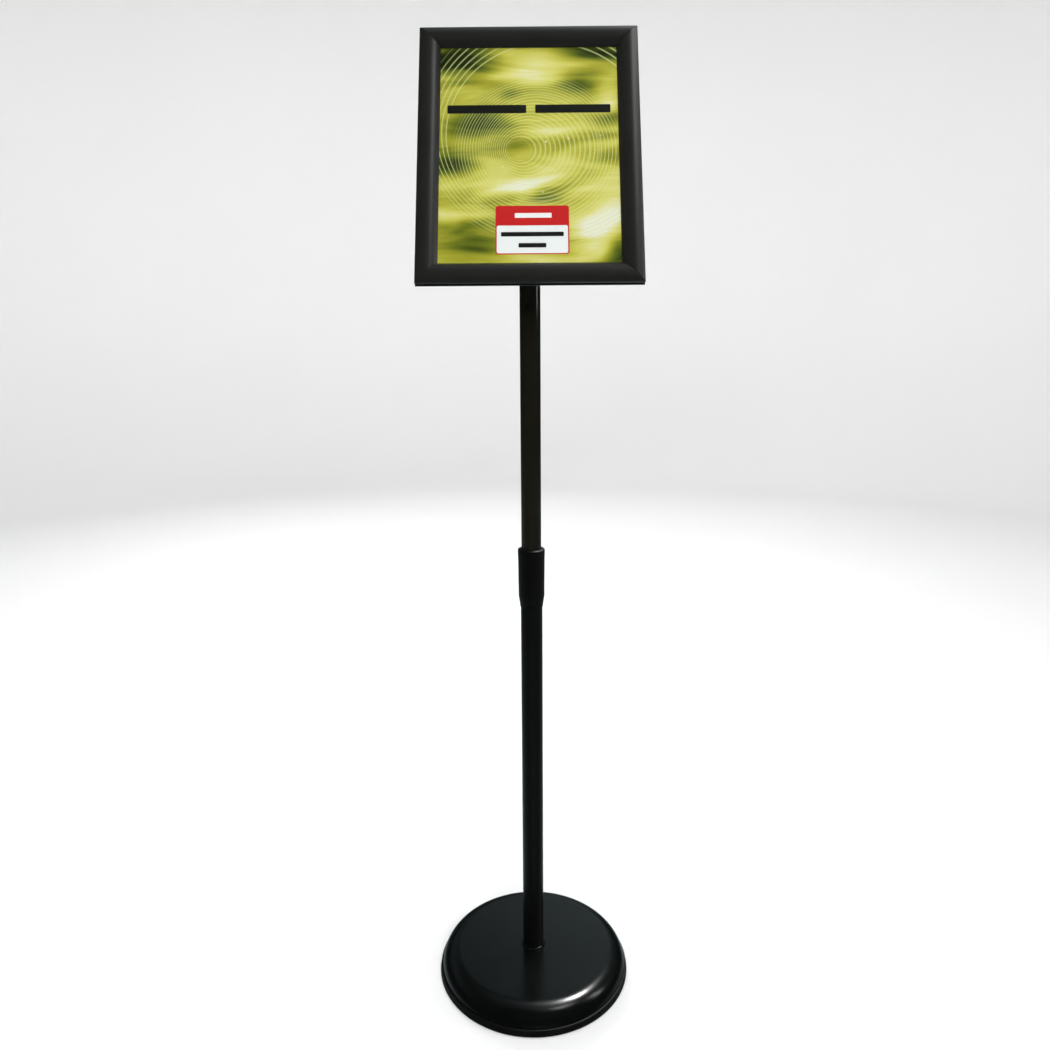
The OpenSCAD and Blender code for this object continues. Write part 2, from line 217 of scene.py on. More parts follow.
def colour_ramp(tree, source, stops):
    """Gives source the colour that (place, colour) stops have there."""
    node = tree.nodes.new("ShaderNodeValToRGB")
    elements = node.color_ramp.elements
    elements[0].position, elements[1].position = stops[0][0], stops[-1][0]
    elements[0].color = (*stops[0][1], 1)
    elements[1].color = (*stops[-1][1], 1)
    for place, colour in stops[1:-1]:
        elements.new(place).color = (*colour, 1)
    tree.links.new(source, node.inputs["Fac"])
    return node.outputs["Color"]


class Paint:
    """Builds one node material on a Principled shader."""

    def __init__(self, name):
        self.material = bpy.data.materials.new(name)
        self.material.use_nodes = True
        self.tree = self.material.node_tree
        self.nodes = self.tree.nodes
        self.shader = self.nodes["Principled BSDF"]
        self.coords = self.nodes.new("ShaderNodeTexCoord")

    def link(self, a, b):
        self.tree.links.new(a, b)

    def stretched(self, scale):
        """Object coordinates in metres, multiplied by a vector scale."""
        mapping = self.nodes.new("ShaderNodeMapping")
        mapping.inputs["Scale"].default_value = scale
        self.link(self.coords.outputs["Object"], mapping.inputs["Vector"])
        return mapping.outputs["Vector"]

    def noise(self, scale, detail=3.0, rough=0.5, stretch=(1, 1, 1), warp=0.0):
        node = self.nodes.new("ShaderNodeTexNoise")
        node.inputs["Distortion"].default_value = warp
        node.inputs["Scale"].default_value = scale
        node.inputs["Detail"].default_value = detail
        node.inputs["Roughness"].default_value = rough
        self.link(self.stretched(stretch), node.inputs["Vector"])
        return node.outputs["Fac"]

    def ramp(self, source, low, high, a, b):
        return map_range(self.tree, source, low, high, a, b)

    def math(self, kind, a, b=None):
        node = self.nodes.new("ShaderNodeMath")
        node.operation = kind
        for i, value in enumerate((a, b)):
            if value is None:
                continue
            if isinstance(value, (int, float)):
                node.inputs[i].default_value = value
            else:
                self.link(value, node.inputs[i])
        return node.outputs[0]

    def mix(self, factor, a, b):
        """Colour a where factor is 0 and colour b where it is 1."""
        node = self.nodes.new("ShaderNodeMix")
        node.data_type = "RGBA"
        if isinstance(factor, (int, float)):
            node.inputs["Factor"].default_value = factor
        else:
            self.link(factor, node.inputs["Factor"])
        for name, value in (("A", a), ("B", b)):
            socket = next(s for s in node.inputs if s.name == name and s.type == "RGBA")
            if isinstance(value, tuple):
                socket.default_value = (*value[:3], 1)
            else:
                self.link(value, socket)
        return next(s for s in node.outputs if s.type == "RGBA")

    def colour(self, source):
        self.link(source, self.shader.inputs["Base Color"])

    def roughness(self, source):
        self.link(source, self.shader.inputs["Roughness"])

    def bump(self, source, distance, under=None):
        node = self.nodes.new("ShaderNodeBump")
        node.inputs["Strength"].default_value = 1.0
        node.inputs["Distance"].default_value = distance
        self.link(source, node.inputs["Height"])
        if under is not None:
            self.link(under, node.inputs["Normal"])
        self.link(node.outputs["Normal"], self.shader.inputs["Normal"])
        return node.outputs["Normal"]

    def set(self, **values):
        for name, value in values.items():
            self.shader.inputs[name.replace("_", " ")].default_value = value


def coated(name, colour, rough, peel, peel_scale):
    """Black coat on metal: orange peel, wiped patches in the gloss, and faint dust."""
    p = Paint(name)
    patches = p.noise(9, detail=4, rough=0.6)
    specks = p.noise(2600, detail=1)
    dust = p.ramp(specks, 0.66, 0.74, 0.0, 1.0)
    light = tuple(c * 1.25 + 0.004 for c in colour)
    tone = p.mix(p.ramp(patches, 0.35, 0.65, 0.0, 1.0), colour, tuple(c * 1.18 for c in colour))
    p.colour(p.mix(p.math("MULTIPLY", dust, 0.5), tone, light))
    p.roughness(p.ramp(patches, 0.3, 0.7, rough - 0.04, rough + 0.04))
    p.bump(p.noise(peel_scale, detail=2), peel)
    return p.material


def moulded(name, colour, rough, grain_scale):
    """Moulded plastic: fine spark-eroded grain, and a slow drift in tone."""
    p = Paint(name)
    drift = p.noise(30, detail=3)
    tone = p.mix(p.ramp(drift, 0.35, 0.65, 0.0, 1.0), colour, tuple(c * 1.25 for c in colour))
    p.colour(tone)
    grains = p.noise(grain_scale, detail=3, rough=0.7)
    p.roughness(p.ramp(grains, 0.3, 0.7, rough - 0.06, rough + 0.08))
    p.bump(grains, 0.00002)
    return p.material


def extruded(name, colour, rough, along):
    """Coated extrusion: fine draw lines along the rail, under a satin grain."""
    p = Paint(name)
    lines = p.noise(1500, detail=2, stretch=along)
    grain = p.noise(2400, detail=3, rough=0.6)
    patches = p.noise(14, detail=4, rough=0.6)
    tone = p.mix(p.ramp(patches, 0.35, 0.65, 0.0, 1.0), colour, tuple(c * 1.15 for c in colour))
    p.colour(p.mix(p.ramp(lines, 0.4, 0.7, 0.0, 0.35), tone, tuple(c * 1.5 for c in colour)))
    p.roughness(p.ramp(grain, 0.3, 0.7, rough - 0.05, rough + 0.06))
    under = p.bump(lines, 0.000008)
    p.bump(grain, 0.00001, under=under)
    return p.material


def bare_metal(name, colour, rough):
    """Plated or plain metal: cloudy gloss and fine random scratches."""
    p = Paint(name)
    clouds = p.noise(120, detail=4)
    p.colour(p.mix(p.ramp(clouds, 0.3, 0.7, 0.0, 1.0), colour, tuple(c * 0.8 for c in colour)))
    scratches = p.noise(900, detail=4, rough=0.7, stretch=(1, 8, 1))
    p.roughness(p.ramp(scratches, 0.3, 0.7, rough - 0.08, rough + 0.12))
    p.bump(scratches, 0.000006)
    p.set(Metallic=1.0)
    return p.material


def rubber(name, colour):
    p = Paint(name)
    bloom = p.noise(40, detail=4)
    p.colour(p.mix(p.ramp(bloom, 0.45, 0.7, 0.0, 1.0), colour, tuple(c * 1.8 for c in colour)))
    grain = p.noise(1800, detail=4, rough=0.7)
    p.roughness(p.ramp(grain, 0.3, 0.7, 0.5, 0.68))
    p.bump(grain, 0.00002)
    p.set(Specular_IOR_Level=0.4)
    return p.material


def cast_iron(name, colour):
    p = Paint(name)
    grain = p.noise(260, detail=6, rough=0.7)
    p.colour(p.mix(grain, tuple(c * 0.7 for c in colour), tuple(c * 1.3 for c in colour)))
    p.roughness(p.ramp(grain, 0.3, 0.7, 0.6, 0.85))
    p.bump(grain, 0.0003)
    p.set(Metallic=0.6)
    return p.material


# ---------------------------------------------------------------- printed sheet


class Print(Paint):
    """Paint with shapes drawn on the sheet's own plane, in millimetres from its middle."""

    def __init__(self, name):
        super().__init__(name)
        split = self.nodes.new("ShaderNodeSeparateXYZ")
        self.link(self.stretched((1000, 1000, 1000)), split.inputs[0])
        self.x = split.outputs["X"]
        self.y = split.outputs["Y"]
        wander_x = self.noise(9, detail=1, rough=0.4, stretch=(0.6, 1.4, 1))
        wander_y = self.noise(12, detail=1, rough=0.4, stretch=(0.6, 1.4, 2))
        self.soft_x = self.drifted(self.x, wander_x, 120)
        self.soft_y = self.drifted(self.y, wander_y, 70)

    def drifted(self, place, noise, reach):
        """A coordinate that wanders by up to about a fifth of reach."""
        shift = self.math("MULTIPLY", self.math("SUBTRACT", noise, 0.5), reach)
        return self.math("ADD", place, shift)

    def products(self, a, b, c, d):
        """a * b + c * d"""
        return self.math("ADD", self.math("MULTIPLY", a, b), self.math("MULTIPLY", c, d))

    def turned(self, cx, cy, angle):
        """The drifting x and y from a centre, along axes turned by an angle in degrees."""
        c, s = math.cos(math.radians(angle)), math.sin(math.radians(angle))
        dx = self.math("SUBTRACT", self.soft_x, cx)
        dy = self.math("SUBTRACT", self.soft_y, cy)
        return self.products(dx, c, dy, s), self.products(dy, c, dx, -s)

    def length(self, a, b):
        return self.math("SQRT", self.products(a, a, b, b))

    def patch(self, cx, cy, rx, ry, angle):
        """1 in the middle of a soft ellipse, and 0 at its edge and beyond."""
        along, across = self.turned(cx, cy, angle)
        d = self.length(self.math("DIVIDE", along, rx), self.math("DIVIDE", across, ry))
        node = self.nodes.new("ShaderNodeMapRange")
        node.interpolation_type = "SMOOTHSTEP"
        node.inputs["From Min"].default_value = 1.0
        node.inputs["From Max"].default_value = 0.0
        self.link(d, node.inputs["Value"])
        return node.outputs["Result"]

    def rings(self, cx, cy, lean_x, lean_y, near, far, pitch, share):
        """Thin circles that grow from a point, with centres that drift by lean times the radius."""
        dx = self.math("SUBTRACT", self.x, cx)
        dy = self.math("SUBTRACT", self.y, cy)
        drift = self.products(dx, lean_x, dy, lean_y)
        left = 1 - lean_x**2 - lean_y**2
        square = self.products(dx, dx, dy, dy)
        inner = self.products(drift, drift, square, left)
        r = self.math("DIVIDE", self.math("SUBTRACT", self.math("SQRT", inner), drift), left)
        wave = self.math("SINE", self.math("MULTIPLY", r, 2 * math.pi / pitch))
        line = self.ramp(wave, share, 1.0, 0.0, 1.0)
        start = self.ramp(r, near, near + 3, 0.0, 1.0)
        end = self.ramp(r, far - 12, far, 1.0, 0.0)
        return self.math("MULTIPLY", line, self.math("MULTIPLY", start, end))

    def box(self, cx, cy, half_w, half_h, corner):
        """1 inside a box with round corners, and 0 outside."""
        sides = []
        for place, middle, half in ((self.x, cx, half_w), (self.y, cy, half_h)):
            off = self.math("ABSOLUTE", self.math("SUBTRACT", place, middle))
            sides.append(self.math("MAXIMUM", self.math("SUBTRACT", off, half - corner), 0.0))
        return self.ramp(self.length(*sides), corner - 0.12, corner + 0.12, 1.0, 0.0)


# Soft patches on the print: x, y, half length and half width in millimetres, turn in degrees, and
# how much they lighten
PATCHES = [
    (-92, 107, 74, 38, 12, -0.58),
    (-56, 130, 44, 20, -8, -0.22),
    (-98, 6, 46, 44, 12, -0.30),
    (76, 120, 62, 18, -6, -0.52),
    (-2, 100, 62, 22, 6, 0.34),
    (-24, 70, 26, 14, 12, -0.20),
    (64, 88, 42, 18, -8, -0.34),
    (-62, 38, 42, 26, -14, -0.46),
    (84, 42, 34, 18, 16, -0.34),
    (-84, -24, 60, 19, 4, -0.42),
    (48, -38, 60, 20, 28, -0.52),
    (-82, -122, 56, 13, 6, -0.24),
    (92, -124, 40, 16, 24, -0.50),
    (-46, 92, 60, 10, 16, 0.16),
    (88, 66, 30, 20, 30, 0.26),
    (8, 22, 56, 24, 10, 0.26),
    (78, 4, 70, 12, 12, 0.36),
    (-4, -36, 58, 20, 14, 0.24),
    (-44, -58, 44, 16, 22, 0.20),
    (84, -82, 66, 34, 46, 0.50),
    (-86, -78, 62, 20, -10, 0.44),
    (16, -122, 70, 12, 0, 0.16),
]

# The print's colour from its darkest tone, 0, to its lightest, 1
TONES = [
    (0.00, (0.010, 0.016, 0.001)),
    (0.16, (0.042, 0.062, 0.004)),
    (0.32, (0.155, 0.180, 0.010)),
    (0.50, (0.360, 0.340, 0.026)),
    (0.66, (0.540, 0.500, 0.076)),
    (0.82, (0.665, 0.620, 0.190)),
    (1.00, (0.760, 0.740, 0.600)),
]


def printed_sheet(name):
    """A generic print: a soft green and yellow blur, thin circles, dark bars and a blank card."""
    p = Print(name)
    tone = p.ramp(p.noise(9, detail=1.5, rough=0.4, stretch=(0.6, 1.5, 1)), 0.3, 0.7, 0.36, 0.83)
    silk = p.noise(17, detail=3.5, rough=0.55, stretch=(0.34, 1.6, 4), warp=0.7)
    streaks = p.ramp(silk, 0.3, 0.7, -0.24, 0.24)
    tone = p.math("ADD", tone, streaks)
    for cx, cy, rx, ry, angle, lift in PATCHES:
        tone = p.math("ADD", tone, p.math("MULTIPLY", p.patch(cx, cy, rx, ry, angle), lift))
    paint = colour_ramp(p.tree, tone, TONES)
    sets = [
        p.rings(-16, 3, 0.40, 0.04, 12, 72, 3.9, 0.30),
        p.rings(0, 14, 0.10, -0.12, 60, 98, 3.6, 0.45),
        p.rings(10, -10, 0.1, 0.30, 108, 150, 5.6, 0.5),
    ]
    lines = p.math("MAXIMUM", sets[0], p.math("MAXIMUM", sets[1], sets[2]))
    paint = p.mix(p.math("MULTIPLY", lines, 0.6), paint, (0.66, 0.69, 0.27))
    paint = p.mix(sparkles(p), paint, (0.80, 0.78, 0.50))
    ink = (0.010, 0.010, 0.008)
    for cx, half_w in ((-47, 44), (49, 42)):
        paint = p.mix(p.box(cx, 54, half_w, 5.2, 1.2), paint, ink)
    paint = p.mix(p.box(3, -92, 40, 28.5, 3), paint, (0.53, 0.015, 0.015))
    paint = p.mix(p.box(3, -103, 38.6, 16.2, 2), paint, (0.80, 0.80, 0.79))
    paint = p.mix(p.box(4, -75, 20, 2.8, 0.8), paint, (0.82, 0.80, 0.79))
    paint = p.mix(p.box(3, -97, 34, 2.6, 0.8), paint, ink)
    paint = p.mix(p.box(3, -110, 15, 2.6, 0.8), paint, ink)
    p.colour(paint)
    fibre = p.noise(1600, detail=3)
    p.roughness(p.ramp(fibre, 0.3, 0.7, 0.34, 0.46))
    p.bump(fibre, 0.000006)
    p.set(Specular_IOR_Level=0.3)
    return p.material


def sparkles(p):
    """A few small soft dots, scattered over the middle of the print."""
    cells = p.nodes.new("ShaderNodeTexVoronoi")
    cells.voronoi_dimensions = "2D"
    cells.inputs["Scale"].default_value = 46
    p.link(p.stretched((1, 1, 1)), cells.inputs["Vector"])
    dots = p.ramp(cells.outputs["Distance"], 0.02, 0.075, 1.0, 0.0)
    chance = p.nodes.new("ShaderNodeSeparateXYZ")
    p.link(cells.outputs["Color"], chance.inputs[0])
    chosen = p.ramp(chance.outputs["X"], 0.62, 0.66, 0.0, 1.0)
    near = p.patch(10, -4, 96, 74, 0)
    return p.math("MULTIPLY", dots, p.math("MULTIPLY", chosen, near))


def clear_film(name):
    """Clear plastic: it lets light straight through, with a gloss that grows towards grazing."""
    p = Paint(name)
    p.nodes.remove(p.shader)
    wipes = p.noise(28, detail=4, rough=0.6)
    through = p.nodes.new("ShaderNodeBsdfTransparent")
    through.inputs["Color"].default_value = (0.97, 0.98, 0.98, 1)
    gloss = p.nodes.new("ShaderNodeBsdfGlossy")
    gloss.inputs["Color"].default_value = (0.95, 0.97, 0.97, 1)
    p.link(p.ramp(wipes, 0.3, 0.7, 0.06, 0.12), gloss.inputs["Roughness"])
    facing = p.nodes.new("ShaderNodeLayerWeight")
    facing.inputs["Blend"].default_value = 0.5
    grazing = p.math("POWER", facing.outputs["Facing"], 5)
    blend = p.nodes.new("ShaderNodeMixShader")
    p.link(p.math("ADD", grazing, p.ramp(wipes, 0.4, 0.7, 0.034, 0.044)), blend.inputs[0])
    p.link(through.outputs[0], blend.inputs[1])
    p.link(gloss.outputs[0], blend.inputs[2])
    p.link(blend.outputs[0], p.nodes["Material Output"].inputs["Surface"])
    return p.material


# ---------------------------------------------------------------- base and pole

# Millimetres
DOME_EDGE = 24.0
DOME_STEPS = 36
SHELL_WALL = 1.2
BOLT_HOLE_R = 5.4
RIM_WIDTH = 9
TUBE_WALL = 0.8


def finish_piece(piece, body, material, node):
    """Gives a piece its material and its body, and hides the CAD node that it stands for."""
    piece.data.materials.append(material)
    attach(piece, body)
    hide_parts(node)


def size_mm(node):
    """A node's lowest and highest corner, in millimetres."""
    low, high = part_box(node)
    return low / MM, high / MM


def make_base(mats):
    shell_r = make_dome(mats)
    make_rim(mats, shell_r)
    make_foot_ring(mats)


def make_dome(mats):
    """The pressed shell, as one sheet of even wall with a rounded edge. Gives its outer radius."""
    low, high = size_mm("base_shell")
    shell_r, top = high.x, high.z
    rim_top = size_mm("base_rim_ring")[1].z
    rise = top - rim_top
    outer = []
    under = []
    for i in range(DOME_STEPS + 1):
        a = math.radians(90 * i / DOME_STEPS)
        r = shell_r - DOME_EDGE + DOME_EDGE * math.cos(a)
        z = rim_top + rise * math.sin(a)
        outer.append((r, z))
        under.append((r - SHELL_WALL, z - SHELL_WALL * (0.5 + 0.5 * (z - rim_top) / rise)))
    hole = [(BOLT_HOLE_R, top), (BOLT_HOLE_R, top - SHELL_WALL)]
    skirt = [(shell_r - SHELL_WALL, low.z), (shell_r, low.z)]
    piece = lathe("base_dome", outer + hole + under[::-1] + skirt, 256)
    finish_piece(piece, "stand", mats["gloss_coat"], "base_shell")
    return shell_r


def make_rim(mats, shell_r):
    low, high = size_mm("base_rim_ring")
    inner = high.x - RIM_WIDTH
    plate_low = size_mm("base_bottom_plate")[0].z
    ring = filleted(
        [
            (inner, low.z, 0.4),
            (high.x, low.z, 0.6),
            (high.x - 1.4, high.z, 1.1),
            (shell_r + 0.05, high.z, 0.3),
            (shell_r + 0.05, plate_low, 0),
            (inner, plate_low, 0.4),
        ]
    )
    piece = lathe("rim_ring", ring, 256)
    finish_piece(piece, "stand", mats["rim_rubber"], "base_rim_ring")


def make_foot_ring(mats):
    low, high = size_mm("pole_foot_ring")
    tube_r = size_mm("lower_tube")[1].x
    foot = filleted(
        [
            (tube_r + 0.04, low.z, 0),
            (high.x, low.z, 0.3),
            (high.x, low.z + 1.3, 0.9),
            (high.x - 1.0, high.z, 0.7),
            (tube_r + 0.04, high.z, 0.2),
        ]
    )
    piece = lathe("foot_ring", foot, 128)
    finish_piece(piece, "stand", mats["foot_gloss"], "pole_foot_ring")


def make_tube(name, node):
    low, high = size_mm(node)
    r = high.x
    bore = r - TUBE_WALL
    corners = [(bore, low.z, 0.2), (r, low.z, 0.3), (r, high.z, 0.3), (bore, high.z, 0.2)]
    return lathe(name, filleted(corners, 3), 128)


def make_pole(mats):
    lower = make_tube("lower_pole", "lower_tube")
    finish_piece(lower, "stand", mats["satin_coat"], "lower_tube")
    upper = make_tube("upper_pole", "upper_tube")
    finish_piece(upper, "mast", mats["tube_gloss"], "upper_tube")
    make_collar(mats)


def make_collar(mats):
    """The outline goes up the tapered outside, over the top, and down the inside past the cone."""
    low, high = size_mm("clutch_collar")
    top_r = high.x
    lower_r = size_mm("lower_tube")[1].x
    upper_r = size_mm("upper_tube")[1].x
    seat_bore = size_mm("clutch_seat")[1].x + 0.3
    z0, z1 = low.z, high.z
    outline = filleted(
        [
            (lower_r + 0.3, z0, 0.1),
            (lower_r + 0.7, z0, 0.25),
            (lower_r + 1.05, z0 + 4, 6),
            (lower_r + 2.6, z0 + 13.5, 12),
            (top_r - 0.6, z0 + 30, 60),
            (top_r - 0.3, z0 + 61, 60),
            (top_r, z0 + 69, 10),
            (top_r, z1, 1.9),
            (upper_r + 0.3, z1, 0.3),
            (upper_r + 0.3, z1 - 7, 0),
            (upper_r + 2.1, z1 - 7.5, 0),
            (seat_bore, z1 - 18, 0),
            (seat_bore, z0 + 11, 0),
            (lower_r + 0.3, z0 + 8, 0),
        ],
        8,
    )
    collar = lathe("twist_collar", outline, 160)
    finish_piece(collar, "collar", mats["clutch_plastic"], "clutch_collar")


# ---------------------------------------------------------------- snap frame

EDGES = ("left", "right", "top", "bottom")

# The rail's section, in millimetres: s runs inwards from the outer edge, and h forward from the
# back plane
HINGE_S, HINGE_H = 2.5, 3.9
CLAW_IN, CLAW_OUT = 1.2, 2.4
ARCH_S, ARCH_H, ARCH_R = 10.5, -3.7, 16.0
COVER_WALL = 1.4
LIP_H = 4.35
OPEN_LINE = HINGE_S + HINGE_H + 0.05
MITRE_GAP = 0.1
RAIL_BEVEL = 0.22

# A letter sheet and its clear cover, with the height of each one's lower face over the back plane
SHEET_W, SHEET_H = 216.0, 279.0
PRINT_LOW, PRINT_THICK = 3.35, 0.25
FILM_LOW, FILM_THICK = 3.65, 0.5


def frame_matrix():
    """The frame's plan, from its back's middle: +X right, +Y up the sign, +Z out of its face."""
    left = Vector(joints["left_cover_open"]["pos_m"])
    right = Vector(joints["right_cover_open"]["pos_m"])
    out = Vector(joints["frame_turn"]["axis"]).normalized()
    up = Vector(joints["right_cover_open"]["axis"]).normalized()
    centre = (left + right) / 2 - out * HINGE_H * MM
    turned = Matrix((up.cross(out), up, out)).transposed().to_4x4()
    return Matrix.Translation(centre) @ turned


def frame_size():
    """Width and height of the frame, in millimetres, from its four hinge lines."""
    ends = {edge: Vector(joints[edge + "_cover_open"]["pos_m"]) for edge in EDGES}
    width = (ends["right"] - ends["left"]).length / MM + 2 * HINGE_S
    height = (ends["top"] - ends["bottom"]).length / MM + 2 * HINGE_S
    return width, height


def cover_outline():
    """The cover rail's section: arch, outer edge, claw on the hinge bead, and lip."""
    lip_out = math.degrees(math.asin((LIP_H - ARCH_H) / ARCH_R))
    inner_r = ARCH_R - COVER_WALL
    lip_in = math.degrees(math.asin((LIP_H - ARCH_H) / inner_r))
    edge_out = math.degrees(math.acos(-(ARCH_S - 0.75) / ARCH_R))
    edge_in = math.degrees(math.acos(-(ARCH_S - COVER_WALL) / inner_r))
    claw_top = math.degrees(math.acos((COVER_WALL - HINGE_S) / CLAW_OUT))
    outer_h = ARCH_H + math.sqrt(ARCH_R**2 - ARCH_S**2)
    points = arc(ARCH_S, ARCH_H, ARCH_R, lip_out + 1.2, edge_out, 48)
    points += [(0.22, outer_h - 0.25), (0.05, outer_h - 0.75), (0.0, outer_h - 1.4)]
    points += [(0.0, OPEN_LINE + 0.3), (0.1, OPEN_LINE), (HINGE_S - 0.9, HINGE_H + 0.95)]
    points += arc(HINGE_S, HINGE_H, CLAW_IN, 132, 0, 12)
    points += arc(HINGE_S, HINGE_H, CLAW_OUT, 0, claw_top, 10)
    points += arc(ARCH_S, ARCH_H, inner_r, edge_in, lip_in, 24)
    tip = ARCH_S + ARCH_R * math.cos(math.radians(lip_out))
    points += [(tip - 0.35, LIP_H), (tip - 0.05, LIP_H + 0.12)]
    return points


def rail(outline, length):
    """A section run along Y and mitred at both ends, with its outer edge at x = 0. Millimetres."""
    small = inset(outline, RAIL_BEVEL)
    bm = bmesh.new()
    rings = []
    half = length / 2 - MITRE_GAP
    ends = ((-1, 0, small), (-1, RAIL_BEVEL, outline), (1, RAIL_BEVEL, outline), (1, 0, small))
    for sign, cut, shape in ends:
        ring = []
        for (s, h), (full_s, _) in zip(shape, outline):
            along = sign * (half - full_s - cut)
            ring.append(bm.verts.new(Vector((s, along, h)) * MM))
        rings.append(ring)
    bridge_rings(bm, rings, False)
    bm.faces.new(rings[0])
    bm.faces.new(rings[-1])
    return bm


def edge_matrix(edge, width, height):
    """Takes a rail drawn with its outer edge on x = 0 to its place in the frame's plan."""
    if edge == "left":
        return Matrix.Translation((-width / 2 * MM, 0, 0))
    if edge == "right":
        return Matrix.Translation((width / 2 * MM, 0, 0)) @ Matrix.Rotation(math.pi, 4, "Z")
    if edge == "bottom":
        return Matrix.Translation((0, -height / 2 * MM, 0)) @ Matrix.Rotation(math.pi / 2, 4, "Z")
    return Matrix.Translation((0, height / 2 * MM, 0)) @ Matrix.Rotation(-math.pi / 2, 4, "Z")


def make_rails(mats, plan, width, height):
    outline = cover_outline()
    for edge in EDGES:
        length = height if edge in ("left", "right") else width
        place = plan @ edge_matrix(edge, width, height)
        piece = add_piece(edge + "_snap_rail", rail(outline, length), place, crease=40)
        finish_piece(piece, edge + "_cover", mats["rail_coat"], "cover_rail_" + edge)


def sheet_mesh(name, low, thick, corner, plan):
    outline = filleted(
        [
            (-SHEET_W / 2, -SHEET_H / 2, corner),
            (SHEET_W / 2, -SHEET_H / 2, corner),
            (SHEET_W / 2, SHEET_H / 2, corner),
            (-SHEET_W / 2, SHEET_H / 2, corner),
        ]
    )
    return extrude(name, outline, low, low + thick, plan, bevel=thick * 0.2)


def make_sheets(mats, plan):
    print_piece = sheet_mesh("print_sheet", PRINT_LOW, PRINT_THICK, 1.0, plan)
    finish_piece(print_piece, "frame", mats["printed_sheet"], "poster_sheet")
    film = sheet_mesh("clear_film", FILM_LOW, FILM_THICK, 2.0, plan)
    finish_piece(film, "frame", mats["clear_sheet"], "clear_cover")


# ---------------------------------------------------------------- tilt head

FLUTES = 12
FLUTE_DEPTH = 1.3
KNOB_NECK_R = 9.4


def make_knob(mats):
    """A neck and a fluted grip with a dished face, on the tilt axis."""
    pivot = Vector(joints["frame_tilt"]["pos_m"])
    low, high = size_mm("tilt_knob")
    start, length = low.x, high.x - low.x
    radius = high.y + 0.15
    outline = filleted(
        [
            (3.08, 0, 0.2),
            (8.9, 0, 0.6),
            (KNOB_NECK_R, 4.2, 1.0),
            (radius - 0.6, 5.0, 0.8),
            (radius, 7.0, 2.0),
            (radius, length, 2.2),
            (radius - 5, length, 0.8),
            (radius - 6, length - 0.8, 0.8),
            (0.02, length - 0.8, 0),
            (0.02, length - 3.4, 0),
            (3.08, length - 3.4, 0),
        ]
    )

    def fluted(a, r):
        depth = FLUTE_DEPTH * max(0.0, math.cos(FLUTES * a)) ** 2
        share = min(1.0, max(0.0, (r - KNOB_NECK_R - 0.1) / 3))
        return r - depth * share

    place = Matrix.Translation(Vector((start * MM, pivot.y, pivot.z)))
    turned = place @ Matrix.Rotation(math.pi / 2, 4, "Y")
    knob = lathe("knob", outline, 192, turned, swell=fluted)
    finish_piece(knob, "knob", mats["knob_plastic"], "tilt_knob")


# ---------------------------------------------------------------- CAD nodes that stay


def paint_nodes(mats):
    """Each CAD node that still shows gets the material named after its record slot."""
    for part in frame["record"]["subparts"]:
        node = frame["nodes"][part["node"]]
        if node.hide_render:
            continue
        node.data.materials.clear()
        node.data.materials.append(mats[part["material_slot"]])


# Colour, roughness, and the depth in metres and the scale of the orange peel
COATS = {
    "gloss_coat": ((0.0020, 0.0024, 0.0024), 0.20, 0.000003, 420),
    "foot_gloss": ((0.0040, 0.0045, 0.0050), 0.16, 0.000003, 600),
    "satin_coat": ((0.0030, 0.0032, 0.0032), 0.32, 0.000006, 1500),
    "tube_gloss": ((0.0075, 0.0070, 0.0046), 0.16, 0.000002, 700),
    "head_coat": ((0.012, 0.012, 0.0125), 0.38, 0.00001, 1200),
}
# Colour, roughness, and the scale of the grain
PLASTICS = {
    "base_plastic": ((0.03, 0.03, 0.03), 0.55, 1400),
    "clutch_plastic": ((0.0020, 0.0020, 0.0019), 0.50, 3200),
    "knob_plastic": ((0.011, 0.011, 0.0115), 0.42, 3200),
    "inner_plastic": ((0.045, 0.045, 0.045), 0.45, 3200),
    "natural_nylon": ((0.62, 0.62, 0.57), 0.40, 3200),
    "hub_plastic": ((0.019, 0.019, 0.020), 0.48, 3200),
    "panel_plastic": ((0.014, 0.014, 0.014), 0.50, 1800),
}
# Colour and roughness
METALS = {
    "zinc_steel": ((0.55, 0.56, 0.58), 0.30),
    "spring_steel": ((0.60, 0.61, 0.62), 0.25),
    "rivet_alloy": ((0.68, 0.69, 0.70), 0.35),
}
RUBBER_COLOURS = {
    "rim_rubber": (0.0028, 0.0028, 0.0030),
    "foot_rubber": (0.02, 0.02, 0.02),
}
CAST_COLOUR = (0.09, 0.09, 0.095)
RAIL_COLOUR = (0.0098, 0.0098, 0.0088)


def make_materials():
    mats = {name: coated(name, *look) for name, look in COATS.items()}
    mats |= {name: moulded(name, *look) for name, look in PLASTICS.items()}
    mats |= {name: bare_metal(name, *look) for name, look in METALS.items()}
    mats |= {name: rubber(name, colour) for name, colour in RUBBER_COLOURS.items()}
    mats["cast_weight"] = cast_iron("cast_weight", CAST_COLOUR)
    mats["rail_coat"] = extruded("rail_coat", RAIL_COLOUR, 0.38, along=(1, 0.01, 1))
    mats["printed_sheet"] = printed_sheet("printed_sheet")
    mats["clear_sheet"] = clear_film("clear_sheet")
    return mats


# ---------------------------------------------------------------- studio

STAGE_R = 4.5
STAGE_HEIGHT = 4.2
STAGE_CURVE = 0.9
STAGE_SIDES = 96


